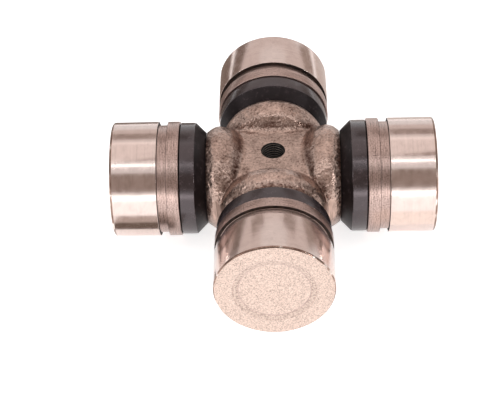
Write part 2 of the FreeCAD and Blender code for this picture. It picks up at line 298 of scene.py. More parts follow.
def web_profile():
    """Height of the web against the distance from the grease hole."""
    top = sizes().web_height
    corners = [(0.0, top, 0, ""), (18.8, top, 19.0, ""), (24.8, 3.4, 0, ""),
               (26.8, -16.0, 0, "")]
    return rounded_profile(corners, 40)[0]


def smooth_max(first, second, reach):
    """Larger of two heights, with a fillet where they are within reach."""
    near = np.maximum(reach - np.abs(first - second), 0)
    return np.maximum(first, second) + near ** 2 / (4 * reach)


def wavy(x, y, phase):
    """Slow uneven waves of a forged skin, between about -1 and 1."""
    return (np.sin(0.83 * x + 0.31 * y + phase) * np.sin(0.47 * y - 0.22 * x + 2 * phase)
            + 0.6 * np.sin(1.61 * y + 0.7 * x - phase) * np.sin(1.27 * x - 0.9 * y + phase)
            ) / 1.6


def forging_height(x, y):
    """Height of the forging's upper skin above a point of its outline.

    A boss of radius R at place x rises to the root of R squared minus y
    squared. The web is a height turned about +Z. The skin is the smooth
    maximum of the web and the two pairs of bosses. With it come two shares
    from 0 to 1: how near the valleys between them or a boss's end lie, which
    the forging's colour takes as painted shade, and how far the web's flat
    stands clear of the bosses.
    """
    boss, web = boss_profile(), web_profile()

    def barrel(along, across):
        radius = np.interp(np.abs(along), boss[:, 0], boss[:, 1])
        square = radius ** 2 - across ** 2
        return np.sign(square) * np.sqrt(np.abs(square))

    disc = np.interp(np.hypot(x, y), web[:, 0], web[:, 1])
    reach = sizes().forging_fillet
    first, second = barrel(x, y), barrel(y, x)
    arms = smooth_max(first, second, 1.6)
    height = smooth_max(disc, arms, reach)
    # Painted shade: the first share darkens the colour in the valleys and along the boss ends
    # by the seals.
    valley = np.maximum(np.clip(1 - np.abs(disc - arms) / 3.0, 0, 1),
                        np.clip(1 - np.abs(first - second) / 3.0, 0, 1) * (arms > disc))
    end = np.maximum(np.abs(x), np.abs(y)) - sizes().boss_face
    valley = np.maximum(valley, np.clip(1.15 + end / 1.4, 0, 1))
    flat = np.clip((disc - arms) / 4.0, 0, 1)
    return np.maximum(height, 0), np.stack([valley, flat], -1)


def forging_outline():
    """Outline of the forging seen along Z, anticlockwise from +X.

    One eighth runs up the boss's end face, back along the boss's side to
    the trimmed land, and half way round the land's corner. The rest is
    mirrored and turned.
    """
    face, land, corner = sizes().boss_face, sizes().land, sizes().land_corner
    boss = boss_profile()
    end_radius = boss[-1, 1]
    lift = np.sin(np.linspace(0, math.pi / 2, 34))
    face_run = np.stack([np.full(34, face), end_radius * lift], 1)
    falling = boss[boss[:, 0] > 18.5][::-1]
    land_start = np.interp(land, falling[:, 1], falling[:, 0])
    back = np.linspace(face, land_start, 9)[1:]
    side_run = np.stack([back, np.interp(back, boss[:, 0], boss[:, 1])], 1)
    side_run[-1, 1] = land
    centre = land + corner
    turn = np.radians(np.linspace(270, 225, 16))
    arc = np.stack([centre + corner * np.cos(turn), centre + corner * np.sin(turn)], 1)
    eighth = np.concatenate([face_run, side_run, arc])
    mirrored = eighth[::-1, ::-1][1:]
    quarter = np.concatenate([eighth, mirrored])[:-1]
    turns = []
    for number in range(4):
        c, s = [(1, 0), (0, 1), (-1, 0), (0, -1)][number]
        turns.append(np.stack([c * quarter[:, 0] - s * quarter[:, 1],
                               s * quarter[:, 0] + c * quarter[:, 1]], 1))
    return np.concatenate(turns)


def forging_skin(outline, inner_radius, rows, phase):
    """Grid of the upper skin from a circle about the centre to the outline.

    Row t runs from 0 to 1 as the sine of a quarter turn, which crowds the
    rows at the outline where the skin falls steeply. The points' shares of
    valley and flat come with it.
    """
    share = np.sin(np.linspace(0, math.pi / 2, rows))[:, None, None]
    inner = outline / np.linalg.norm(outline, axis=1)[:, None] * inner_radius
    flat = inner[None] + (outline - inner)[None] * share
    x, y = flat[..., 0], flat[..., 1]
    height, shares = forging_height(x, y)
    calm = np.clip((np.hypot(x, y) - 5) / 4, 0, 1) * np.clip((1 - share[..., 0]) * 12, 0, 1)
    height = height + 0.1 * calm * wavy(x, y, phase)
    return np.stack([x, y, height], -1), shares


# Surfaces

def add_node(tree, kind, settings=(), **links):
    """Add a shader node, set its inputs and attributes, and link its inputs."""
    node = tree.nodes.new(kind)
    for key, value in dict(settings).items():
        if key in node.inputs:
            node.inputs[key].default_value = value
        else:
            setattr(node, key, value)
    for key, source in links.items():
        tree.links.new(source, node.inputs[key.replace("_", " ")])
    return node


def new_material(name):
    """A material with an empty node tree."""
    material = bpy.data.materials.new(name)
    material.use_nodes = True
    material.node_tree.nodes.clear()
    return material


def finish_material(material, shader, colour, roughness, normal, metallic, **settings):
    """Join colour, roughness and normal to a shader and the output."""
    tree = material.node_tree
    for key, value in settings.items():
        shader.inputs[key.replace("_", " ")].default_value = value
    shader.inputs["Metallic"].default_value = metallic
    if colour is not None:
        tree.links.new(colour, shader.inputs["Base Color"])
    if roughness is not None:
        tree.links.new(roughness, shader.inputs["Roughness"])
    if normal is not None:
        tree.links.new(normal, shader.inputs["Normal"])
    add_node(tree, "ShaderNodeOutputMaterial", Surface=shader.outputs[0])
    return material


def tinted(colour, factor):
    """A colour made lighter or darker by a factor."""
    return tuple(min(1.0, c * factor) for c in colour[:3]) + (1.0,)


def ramp(tree, source, stops):
    """Colour ramp with (position, colour) stops."""
    node = add_node(tree, "ShaderNodeValToRGB", Fac=source)
    elements = node.color_ramp.elements
    elements[0].position, elements[0].color = stops[0]
    elements[1].position, elements[1].color = stops[-1]
    for position, colour in stops[1:-1]:
        elements.new(position).color = colour
    return node.outputs["Color"]


def add_math(tree, operation, first, second):
    """Result of one sum on two sockets or plain numbers."""
    node = add_node(tree, "ShaderNodeMath", {"operation": operation})
    for slot, value in enumerate((first, second)):
        if isinstance(value, (int, float)):
            node.inputs[slot].default_value = value
        else:
            tree.links.new(value, node.inputs[slot])
    return node.outputs[0]


def ground_steel():
    """Centreless-ground bearing steel.

    Fine circumferential scratches, drawn 0.15 mm apart so that they show,
    soften the reflections round the cup. Slow waves and handling marks a few
    millimetres long make the edges of the reflections ragged.
    """
    material = new_material("ground_bearing_steel")
    tree = material.node_tree
    uv = add_node(tree, "ShaderNodeTexCoord").outputs["UV"]
    stretched = add_node(tree, "ShaderNodeMapping", {"Scale": (0.04, 6.5, 1.0)}, Vector=uv)
    lines = add_node(tree, "ShaderNodeTexNoise", {"Scale": 1.0, "Detail": 3.0,
                     "Roughness": 0.6}, Vector=stretched.outputs[0])
    patches = add_node(tree, "ShaderNodeTexNoise", {"Scale": 0.35, "Detail": 5.0,
                       "Roughness": 0.62}, Vector=uv)
    base = colours().ground
    colour = ramp(tree, add_math(tree, "MULTIPLY", lines.outputs["Fac"],
                                 patches.outputs["Fac"]), [
        (0.14, tinted(base, 0.9)), (0.25, base), (0.4, tinted(base, 1.05))])
    rough = add_node(tree, "ShaderNodeMapRange", {"From Min": 0.3, "From Max": 0.7,
                     "To Min": 0.13, "To Max": 0.22}, Value=patches.outputs["Fac"])
    slow = add_math(tree, "MULTIPLY", patches.outputs["Fac"], 1.6)
    bump = add_node(tree, "ShaderNodeBump", {"Strength": 0.3, "Distance": 0.00001},
                    Height=add_math(tree, "ADD", lines.outputs["Fac"], slow))
    shader = add_node(tree, "ShaderNodeBsdfPrincipled")
    return finish_material(material, shader, colour, rough.outputs[0],
                           bump.outputs[0], 1.0)


def dish_painted_shade_steel():
    """Sloping edge of the dish in a cup's end, its tone darkened as painted
    shade on the slope, and smoother."""
    material = new_material("dish_slope_painted_shade")
    tree = material.node_tree
    where = add_node(tree, "ShaderNodeTexCoord").outputs["Object"]
    grain = add_node(tree, "ShaderNodeTexNoise", {"Scale": 1500.0, "Detail": 4.0}, Vector=where)
    base = colours().end_face
    # Painted shade: the end face's colour darkened for the slope.
    colour = ramp(tree, grain.outputs["Fac"], [
        (0.3, tinted(base, 0.55)), (0.6, tinted(base, 0.95))])
    bump = add_node(tree, "ShaderNodeBump", {"Strength": 0.5, "Distance": 0.00003},
                    Height=grain.outputs["Fac"])
    shader = add_node(tree, "ShaderNodeBsdfPrincipled", {"Roughness": 0.24})
    return finish_material(material, shader, colour, None, bump.outputs[0], 1.0)


def end_face_steel():
    """Matt tumbled end of a cup, with an even grain about 0.4 mm wide."""
    material = new_material("matt_cup_end")
    tree = material.node_tree
    where = add_node(tree, "ShaderNodeTexCoord").outputs["Object"]
    grain = add_node(tree, "ShaderNodeTexNoise", {"Scale": 2250.0, "Detail": 4.0,
                     "Roughness": 0.75}, Vector=where)
    base = colours().end_face
    colour = ramp(tree, grain.outputs["Fac"], [
        (0.34, tinted(base, 0.46)), (0.49, base), (0.66, tinted(base, 1.35))])
    rough = add_node(tree, "ShaderNodeMapRange", {"To Min": 0.28, "To Max": 0.42},
                     Value=grain.outputs["Fac"])
    bump = add_node(tree, "ShaderNodeBump", {"Strength": 0.7, "Distance": 0.00004},
                    Height=grain.outputs["Fac"])
    shader = add_node(tree, "ShaderNodeBsdfPrincipled")
    return finish_material(material, shader, colour, rough.outputs[0],
                           bump.outputs[0], 0.9)


def edge_painted_shade_and_glints():
    """Outer edge of a cup's end, darker as painted shade, with bright flecks as painted glints.
    """
    material = new_material("edge_painted_shade_and_glints_steel")
    tree = material.node_tree
    where = add_node(tree, "ShaderNodeTexCoord").outputs["Object"]
    glint_noise = add_node(tree, "ShaderNodeTexNoise", {"Scale": 260.0, "Detail": 4.0}, Vector=where)
    # Painted shade and glints: dark tones for the shaded edge, pale flecks for glints.
    colour = ramp(tree, glint_noise.outputs["Fac"], [
        (0.4, linear("#7A5F54")), (0.56, linear("#9A8074")), (0.68, linear("#EADFD8"))])
    shader = add_node(tree, "ShaderNodeBsdfPrincipled", {"Roughness": 0.26})
    return finish_material(material, shader, colour, None, None, 1.0)


def turned_steel():
    """Rough-turned, heat-tinted steel with feed lines 0.2 mm apart."""
    material = new_material("turned_rim_steel")
    tree = material.node_tree
    uv = add_node(tree, "ShaderNodeTexCoord").outputs["UV"]
    stretched = add_node(tree, "ShaderNodeMapping", {"Scale": (0.12, 5.0, 1.0)}, Vector=uv)
    lines = add_node(tree, "ShaderNodeTexNoise", {"Scale": 1.0, "Detail": 4.0,
                     "Roughness": 0.65}, Vector=stretched.outputs[0])
    specks = add_node(tree, "ShaderNodeTexNoise", {"Scale": 2.2, "Detail": 3.0,
                      "Roughness": 0.7}, Vector=uv)
    mixed = add_math(tree, "MULTIPLY", lines.outputs["Fac"], specks.outputs["Fac"])
    base = colours().turned
    colour = ramp(tree, mixed, [
        (0.14, tinted(base, 0.22)), (0.24, base), (0.38, tinted(base, 1.45))])
    bump = add_node(tree, "ShaderNodeBump", {"Strength": 0.6, "Distance": 0.00005},
                    Height=mixed)
    shader = add_node(tree, "ShaderNodeBsdfPrincipled", {"Roughness": 0.3})
    return finish_material(material, shader, colour, None, bump.outputs[0], 0.95)


def sheared_steel():
    """Land where the flash was trimmed off: flat, brighter than the skin,
    with shear marks about 0.5 mm apart across its thickness."""
    material = new_material("sheared_flash_steel")
    tree = material.node_tree
    where = add_node(tree, "ShaderNodeTexCoord").outputs["Object"]
    upright = add_node(tree, "ShaderNodeMapping", {"Scale": (1.0, 1.0, 0.12)}, Vector=where)
    marks = add_node(tree, "ShaderNodeTexNoise", {"Scale": 1900.0, "Detail": 3.0},
                     Vector=upright.outputs[0])
    base = colours().forging
    colour = ramp(tree, marks.outputs["Fac"], [
        (0.32, tinted(base, 0.8)), (0.5, tinted(base, 1.2)), (0.66, tinted(base, 1.5))])
    bump = add_node(tree, "ShaderNodeBump", {"Strength": 0.6, "Distance": 0.00008},
                    Height=marks.outputs["Fac"])
    shader = add_node(tree, "ShaderNodeBsdfPrincipled", {"Roughness": 0.34})
    return finish_material(material, shader, colour, None, bump.outputs[0], 0.95)


def forged_steel():
    """Shot-blasted forging.

    Hammered dimples about 1.5 mm across with fine grit on them glint where
    they face a light, over scale that darkens it in patches. The UV map holds
    two shares: the first paints shade into the colour, darker in the valleys
    and along the boss ends, and the second makes the web's flat smoother.
    """
    material = new_material("shot_blasted_forging")
    tree = material.node_tree
    where = add_node(tree, "ShaderNodeTexCoord").outputs["Object"]
    dimples = add_node(tree, "ShaderNodeTexVoronoi", {"Scale": 640.0,
                       "feature": "SMOOTH_F1", "Smoothness": 0.8}, Vector=where)
    grit = add_node(tree, "ShaderNodeTexNoise", {"Scale": 1300.0, "Detail": 5.0,
                    "Roughness": 0.7}, Vector=where)
    scale = add_node(tree, "ShaderNodeTexNoise", {"Scale": 210.0, "Detail": 5.0,
                     "Roughness": 0.65}, Vector=where)
    peel = add_node(tree, "ShaderNodeTexNoise", {"Scale": 820.0, "Detail": 1.0,
                    "Roughness": 0.5}, Vector=where)
    uv = add_node(tree, "ShaderNodeTexCoord").outputs["UV"]
    shares = add_node(tree, "ShaderNodeSeparateXYZ", Vector=uv)
    height = add_math(tree, "ADD", peel.outputs["Fac"],
                      add_math(tree, "MULTIPLY", dimples.outputs["Distance"], 0.5))
    height = add_math(tree, "ADD", height,
                      add_math(tree, "MULTIPLY", grit.outputs["Fac"], 0.2))
    height = add_math(tree, "MULTIPLY", height, add_math(
        tree, "SUBTRACT", 1.0, add_math(tree, "MULTIPLY", shares.outputs["Y"], 0.75)))
    shade = add_math(tree, "ADD", add_math(tree, "MULTIPLY", grit.outputs["Fac"], 0.62),
                     add_math(tree, "MULTIPLY", scale.outputs["Fac"], 0.38))
    # Painted shade from the UV map's first share.
    shade = add_math(tree, "SUBTRACT", shade,
                     add_math(tree, "MULTIPLY", shares.outputs["X"], 0.12))
    base = colours().forging
    colour = ramp(tree, shade, [
        (0.34, linear("#5E4339")), (0.47, tinted(base, 0.88)), (0.59, tinted(base, 1.42))])
    rough = add_node(tree, "ShaderNodeMapRange", {"To Min": 0.2, "To Max": 0.38},
                     Value=grit.outputs["Fac"])
    bump = add_node(tree, "ShaderNodeBump", {"Strength": 0.9, "Distance": 0.00027},
                    Height=height)
    shader = add_node(tree, "ShaderNodeBsdfPrincipled")
    return finish_material(material, shader, colour, rough.outputs[0],
                           bump.outputs[0], 0.9)


def crevice_painted_shade():
    """Groove walls and the seat's foot by the boss, darkened as painted shade
    in these crevices: near black with a thin brown tinge."""
    material = new_material("crevice_painted_shade_steel")
    tree = material.node_tree
    where = add_node(tree, "ShaderNodeTexCoord").outputs["Object"]
    crust = add_node(tree, "ShaderNodeTexNoise", {"Scale": 800.0, "Detail": 4.0}, Vector=where)
    # Painted shade: near black to dark brown.
    colour = ramp(tree, crust.outputs["Fac"], [
        (0.35, linear("#1E1512")), (0.65, linear("#4A382F"))])
    bump = add_node(tree, "ShaderNodeBump", {"Strength": 0.4, "Distance": 0.00003},
                    Height=crust.outputs["Fac"])
    shader = add_node(tree, "ShaderNodeBsdfPrincipled", {"Roughness": 0.6})
    return finish_material(material, shader, colour, None, bump.outputs[0], 0.5)


def thread_painted_shade_and_highlight():
    """Cut thread, coloured by the distance from the hole's axis: its crests
    are grey as painted highlight and its roots black as painted shade."""
    material = new_material("thread_painted_shade_and_highlight_steel")
    tree = material.node_tree
    where = add_node(tree, "ShaderNodeTexCoord").outputs["Object"]
    flat = add_node(tree, "ShaderNodeVectorMath", {"operation": "MULTIPLY"})
    flat.inputs[1].default_value = (1, 1, 0)
    tree.links.new(where, flat.inputs[0])
    reach = add_node(tree, "ShaderNodeVectorMath", {"operation": "LENGTH"})
    tree.links.new(flat.outputs[0], reach.inputs[0])
    outer = sizes().thread_radius * MM
    share = add_node(tree, "ShaderNodeMapRange", {"From Min": outer - 0.55 * MM,
                     "From Max": outer - 0.05 * MM}, Value=reach.outputs["Value"])
    # Painted highlight on the crests, painted shade in the roots.
    colour = ramp(tree, share.outputs[0], [
        (0.0, linear("#8B8078")), (0.22, linear("#3A322D")), (0.42, linear("#060504"))])
    shader = add_node(tree, "ShaderNodeBsdfPrincipled", {"Roughness": 0.32})
    return finish_material(material, shader, colour, None, None, 0.7)


def drilling_dark():
    """Unlit depth of the drillings, black with grease and faintly mottled."""
    material = new_material("dark_drilling_steel")
    tree = material.node_tree
    where = add_node(tree, "ShaderNodeTexCoord").outputs["Object"]
    film = add_node(tree, "ShaderNodeTexNoise", {"Scale": 700.0, "Detail": 3.0}, Vector=where)
    colour = ramp(tree, film.outputs["Fac"], [
        (0.35, linear("#050404")), (0.65, linear("#14100E"))])
    shader = add_node(tree, "ShaderNodeBsdfPrincipled", {"Roughness": 0.7})
    return finish_material(material, shader, colour, None, None, 0.0,
                           Specular_IOR_Level=0.1)


def rubber(name, base, shine, smooth, scuffed):
    """Moulded nitrile rubber with scuffs about 2 mm long and a faint bloom.

    The shine is the specular level, smooth the lowest and highest roughness,
    and scuffed how much paler the scuffs are.
    """
    material = new_material(name)
    tree = material.node_tree
    where = add_node(tree, "ShaderNodeTexCoord").outputs["Object"]
    scuffs = add_node(tree, "ShaderNodeTexNoise", {"Scale": 520.0, "Detail": 6.0,
                      "Roughness": 0.72}, Vector=where)
    colour = ramp(tree, scuffs.outputs["Fac"], [
        (0.35, tinted(base, 0.75)), (0.56, base), (0.66, tinted(base, scuffed))])
    rough = add_node(tree, "ShaderNodeMapRange", {"To Min": smooth[0], "To Max": smooth[1]},
                     Value=scuffs.outputs["Fac"])
    bump = add_node(tree, "ShaderNodeBump", {"Strength": 0.35, "Distance": 0.00005},
                    Height=scuffs.outputs["Fac"])
    shader = add_node(tree, "ShaderNodeBsdfPrincipled")
    return finish_material(material, shader, colour, rough.outputs[0],
                           bump.outputs[0], 0.0, Specular_IOR_Level=shine,
                           Specular_Tint=linear("#F8E6EA"))


def band_rubber():
    """The seal's band, rubbed satin by handling."""
    return rubber("nitrile_band", colours().rubber, 1.0, (0.12, 0.3), 3.0)


def taper_rubber_painted_shade():
    """The seal's taper: the band's rubber darkened as painted shade, and duller."""
    return rubber("nitrile_taper_painted_shade", tinted(colours().rubber, 0.4), 0.3, (0.3, 0.55), 6.0)


def polished_steel():
    """Honed bearing steel of needles, raceways and journals."""
    material = new_material("honed_bearing_steel")
    tree = material.node_tree
    where = add_node(tree, "ShaderNodeTexCoord").outputs["Object"]
    haze = add_node(tree, "ShaderNodeTexNoise", {"Scale": 900.0, "Detail": 3.0}, Vector=where)
    base = colours().polished
    colour = ramp(tree, haze.outputs["Fac"], [
        (0.35, tinted(base, 0.9)), (0.65, base)])
    rough = add_node(tree, "ShaderNodeMapRange", {"To Min": 0.14, "To Max": 0.26},
                     Value=haze.outputs["Fac"])
    shader = add_node(tree, "ShaderNodeBsdfPrincipled")
    return finish_material(material, shader, colour, rough.outputs[0], None, 1.0)


def washer_nylon():
    """Moulded natural nylon, matt and slightly mottled."""
    material = new_material("natural_nylon")
    tree = material.node_tree
    where = add_node(tree, "ShaderNodeTexCoord").outputs["Object"]
    mottle = add_node(tree, "ShaderNodeTexNoise", {"Scale": 700.0, "Detail": 3.0}, Vector=where)
    base = colours().nylon
    colour = ramp(tree, mottle.outputs["Fac"], [
        (0.35, tinted(base, 0.92)), (0.65, base)])
    bump = add_node(tree, "ShaderNodeBump", {"Strength": 0.3, "Distance": 0.00002},
                    Height=mottle.outputs["Fac"])
    shader = add_node(tree, "ShaderNodeBsdfPrincipled", {"Roughness": 0.5})
    return finish_material(material, shader, colour, None, bump.outputs[0], 0.0)


MAKERS = {
    "ground": ground_steel, "end": end_face_steel, "turned": turned_steel,
    "forged": forged_steel, "rubber": band_rubber,
    "taper": taper_rubber_painted_shade, "polished": polished_steel,
    "nylon": washer_nylon, "thread": thread_painted_shade_and_highlight, "dark": drilling_dark,
    "scale": crevice_painted_shade, "edge": edge_painted_shade_and_glints, "dish": dish_painted_shade_steel,
    "sheared": sheared_steel,
}
MADE = {}


def material(key):
    """The one material of a finish, made when first asked for."""
    if key not in MADE:
        MADE[key] = MAKERS[key]()
    return MADE[key]


def wear_material(node, key):
    """Give a solid model's node its finish."""
    piece = bpy.data.objects[node]
    piece.data.materials.clear()
    piece.data.materials.append(material(key))


# Operators

class CROSS_OT_forging(bpy.types.Operator):
    """Make the forging, its four trunnions and the threaded grease hole"""

    bl_idname = "cross.forging"
    bl_label = "Forging"

    def execute(self, context):
        outline = forging_outline()
        count = len(outline)
        rim = sizes().thread_radius - 0.03
        pocket = 1.2
        upper, shares_above = forging_skin(outline, rim, 96, 0.4)
        lower, shares_below = forging_skin(outline, 0.0, 96, 1.9)
        lower[..., 2] *= -1
        share = np.linspace(0, 1, 9)[:, None, None]
        wall = upper[-1][None] * (1 - share) + lower[-1][None] * share
        foot = upper[:1] * [1, 1, 0] + [0, 0, pocket]
        grid = np.concatenate([foot * [0, 0, 1], foot, upper, wall[1:-1], lower[::-1]])
        points = grid.reshape(-1, 3)
        faces = grid_faces(len(grid), count)
        plain = np.zeros((2, count, 2))
        between = shares_above[-1][None] * (1 - share[1:-1])
        shares = np.concatenate([plain, shares_above, between, shares_below[::-1]])
        uv = shares.reshape(-1, 2)[faces]
        row, column = faces[:, 0] // count, faces[:, 0] % count
        on_land = np.abs(outline).max(1) < sizes().boss_face - 2.0
        first = len(upper) + 1
        slots = (row >= first) & (row < first + 8) & on_land[column]
        body = mesh_piece("forging", points, faces,
                          [material("forged"), material("sheared")], slots, uv)
        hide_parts("cross")
        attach(body, "cross")

        for side in SIDES:
            arm = turned_piece("trunnion_" + side, [
                (SEAT_START, 0.0, 0, "polished"),
                # The seat's first 1.5 mm by the boss takes painted shade.
                (SEAT_START, SEAT_RADIUS, 0, "scale"),
                (SEAT_START + 1.5, SEAT_RADIUS, 0, "polished"),
                (SEAT_END, SEAT_RADIUS, 0.3, "polished"),
                (JOURNAL_START, JOURNAL_RADIUS, 0.6, "polished"),
                (TRUNNION_END - 0.8, JOURNAL_RADIUS, 0.3, "turned"),
                (TRUNNION_END, 11.7, 0.15, "turned"),
                (TRUNNION_END, 4.2, 0.15, "turned"),
                (TRUNNION_END - 2.94, DRILLING_RADIUS, 0.1, "turned"),
                (6.0, DRILLING_RADIUS, 0, "turned"), (6.0, 0.0, 0, "turned"),
            ], side, {k: material(k) for k in ("polished", "turned", "scale")})
            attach(arm, "cross")

        thread = self.thread()
        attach(thread, "cross")
        return {"FINISHED"}

    def thread(self):
        """Closed sleeve with a threaded wall.

        The wall's radius is the outer radius less a triangle wave of the
        depth divided by the pitch plus the angle divided by a full turn.
        Above it the sleeve is bevelled, and its outside and floor lie inside
        the forging.
        """
        steps, rows = 128, 180
        pitch, outer = sizes().thread_pitch, sizes().thread_radius
        top = sizes().web_height
        angle = np.linspace(0, 2 * math.pi, steps, endpoint=False)[None, :]
        depth = np.linspace(0.02, 9.6, rows)[:, None]
        wave = (depth / pitch + angle / (2 * math.pi)) % 1.0
        tooth = 1 - np.abs(2 * wave - 1)
        radius = outer - 0.54 * np.clip(1.25 * tooth - 0.1, 0, 1)
        radius = np.maximum(radius, outer - 0.01 - depth)
        ends = np.ones((1, steps))
        radius = np.concatenate([ends * 0, ends * (outer + 0.3), ends * (outer + 0.3),
                                 radius, ends * 0])
        height = np.concatenate([ends * 1.4, ends * 1.4, ends * (top - 0.4),
                                 top - depth * ends, ends * (top - depth[-1])])
        turn = np.broadcast_to(angle, radius.shape)
        points = np.stack([radius * np.sin(turn), radius * np.cos(turn), height], -1)
        faces = grid_faces(len(radius), steps)
        slots = np.zeros(len(faces))
        slots[-steps:] = 1
        return mesh_piece("grease_thread", points.reshape(-1, 3), faces,
                          [material("thread"), material("dark")], slots, sharp=60)


class CROSS_OT_cups(bpy.types.Operator):
    """Make the four bearing cups"""

    bl_idname = "cross.cups"
    bl_label = "Bearing cups"

    def execute(self, context):
        edge = sizes().edge_round
        rim = CUP_RADIUS - 0.04
        kinds = {k: material(k) for k in ("ground", "end", "turned", "polished",
                                          "scale", "edge", "dish")}
        for side in SIDES:
            cup = turned_piece("cup_body_" + side, [
                (WASHER_END + 0.05, 0.0, 0, "polished"),
                (WASHER_END + 0.05, RACEWAY_RADIUS, 0.1, "polished"),
                (RETAINER_END, RACEWAY_RADIUS, 0.1, "turned"),
                (RETAINER_END, MOUTH_BORE, 0.1, "turned"),
                (CUP_MOUTH, MOUTH_BORE, 0.15, "turned"),
                (CUP_MOUTH, rim, 0.25, "turned"),
                # Both walls of the groove take painted shade.
                (GROOVE_START, rim, edge, "scale"),
                (GROOVE_START, GROOVE_RADIUS, 0.15, "turned"),
                (GROOVE_END, GROOVE_RADIUS, 0.15, "scale"),
                (GROOVE_END, CUP_RADIUS, edge, "ground"),
                # The outer edge's finish paints shade and glints into its colour.
                (CUP_END - 0.55, CUP_RADIUS, 0.6, "edge"),
                (CUP_END, CUP_RADIUS - 0.55, 0.6, "end"),
                (CUP_END, 13.5, 0, "end"),
                # The dish's slope takes painted shade in its colour.
                (CUP_END - 0.04, 13.2, 0, "dish"),
                (CUP_END - 0.64, 11.35, 0, "turned"),
                (CUP_END - 0.7, 11.12, 0, "end"),
                (CUP_END - 0.7, 0.0, 0, "end"),
            ], side, kinds)
            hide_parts("cup_" + side)
            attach(cup, side + "_cup")
        return {"FINISHED"}


class CROSS_OT_seals(bpy.types.Operator):
    """Make the four rubber seals"""

    bl_idname = "cross.seals"
    bl_label = "Rubber seals"

    def execute(self, context):
        for side in SIDES:
            seal = turned_piece("seal_band_" + side, [
                (SEAL_START, SEAL_BORE, 0, "rubber"),
                # The taper's darker rubber is painted shade.
                (SEAL_START, 15.0, 0.3, "taper"),
                (SEAL_START + 3.5, SEAL_RADIUS, 0.5, "rubber"),
                (CUP_MOUTH - 0.35, SEAL_RADIUS, 0.12, "rubber"),
                # The step into the cup's mouth takes the drillings' black as painted shade.
                (CUP_MOUTH - 0.35, SEAL_RADIUS - 0.55, 0.1, "dark"),
                (CUP_MOUTH, SEAL_RADIUS - 0.55, 0.05, "rubber"),
                (CUP_MOUTH, SEAL_NECK_RADIUS, 0.05, "rubber"),
                (SEAL_END, SEAL_NECK_RADIUS, 0.1, "rubber"),
                (SEAL_END, SEAL_BORE, 0.1, "rubber"),
            ], side, {k: material(k) for k in ("rubber", "taper", "dark")}, closed=True)
            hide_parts("seal_" + side)
            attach(seal, side + "_cup")
        return {"FINISHED"}


class CROSS_OT_bearings(bpy.types.Operator):
    """Finish the needles, their retainers and the thrust washers"""

    bl_idname = "cross.bearings"
    bl_label = "Needle bearings"

    def execute(self, context):
        for side in SIDES:
            wear_material("needles_" + side, "polished")
            wear_material("needle_retainer_" + side, "polished")
            wear_material("thrust_washer_" + side, "nylon")
        wear_material("cross", "forged")
        return {"FINISHED"}


# Camera of the photograph, from the fit of its outlines.
CAMERA_ELEVATION = 42.605
CAMERA_YAW = -1.946
CAMERA_ROLL = 2.33
CAMERA_DISTANCE = 498.8
CAMERA_ASIDE = 7.423
CAMERA_ABOVE = 7.768
CAMERA_FOCAL = 1495.39
PHOTO_WIDTH = 503.0


def camera_axes():
    """Right, up and back of the camera, as rows."""
    e, w, r = (math.radians(a) for a in (CAMERA_ELEVATION, CAMERA_YAW, CAMERA_ROLL))
    tilt = np.array([[1, 0, 0], [0, math.sin(e), math.cos(e)],
                     [0, -math.cos(e), math.sin(e)]])
    turn = np.array([[math.cos(w), -math.sin(w), 0], [math.sin(w), math.cos(w), 0],
                     [0, 0, 1]])
    roll = np.array([[math.cos(r), -math.sin(r), 0], [math.sin(r), math.cos(r), 0],
                     [0, 0, 1]])
    return roll @ tilt @ turn


def place_camera():
    """Camera at the photograph's place and angle."""
    axes = camera_axes()
    where = np.array([-CAMERA_ASIDE, -CAMERA_ABOVE, CAMERA_DISTANCE]) @ axes * MM
    matrix = Matrix([[*axes.T[i], where[i]] for i in range(3)] + [[0, 0, 0, 1]])
    data = bpy.data.cameras.new("photo_camera")
    data.sensor_width = 36.0
    data.lens = CAMERA_FOCAL / PHOTO_WIDTH * data.sensor_width
    data.clip_start = 0.01
    camera = bpy.data.objects.new("photo_camera", data)
    camera.matrix_world = matrix
    bpy.context.scene.collection.objects.link(camera)
    bpy.context.scene.camera = camera


# Grey cards: elevation and azimuth from the front in degrees, distance,
# width and height in metres, and shade.
FLAGS = [
    ("front_flag", 34.0, 0.0, 1.3, (2.4, 0.9), "#A69890"),
    ("back_flag", 132.0, 0.0, 1.25, (0.8, 0.5), "#F8F3F0"),
    ("back_wide_flag", 137.0, 0.0, 1.4, (2.9, 1.2), "#E9DFDA"),
    ("overhead_flag", 97.0, 0.0, 1.3, (2.4, 0.9), "#B5A69E"),
    ("left_flag", 14.0, -88.0, 1.3, (1.0, 0.9), "#5E524C"),
    ("right_flag", 14.0, 88.0, 1.3, (1.0, 0.9), "#5E524C"),
    ("back_left_flag", 4.0, -141.0, 1.3, (0.6, 0.6), "#8A7B73"),
    ("back_right_flag", 6.0, 141.0, 1.3, (0.4, 0.5), "#B0A198"),
]

# Cards that lie just above the floor, at this height in metres, and that only
# a gloss sees: name, two opposite corners, shade and strength. The grey ones
# are painted shadow of the floor beneath and behind the cups in their
# reflections, and the white ones that glow brighter than the floor are
# painted light in them.
UNDER_FLAG_HEIGHT = -0.0185
UNDER_FLAGS = [
    ("left_under_flag", -0.056, -0.03, -0.033, -0.0205, "#7D7067", 1.0),
    ("left_near_flag", -0.056, -0.045, -0.033, -0.03, "#D2C6BF", 1.0),
    ("front_floor_flag", -0.5, -0.7, 0.5, -0.045, "#FFFFFF", 1.65),
    ("right_near_flag", 0.033, -0.044, 0.058, -0.0205, "#FFF8F2", 1.5),
    ("back_left_under_flag", -0.2, 0.055, -0.026, 0.24, "#8A7B72", 1.0),
    ("back_right_under_flag", 0.026, 0.055, 0.2, 0.24, "#E0D6D0", 1.0),
]

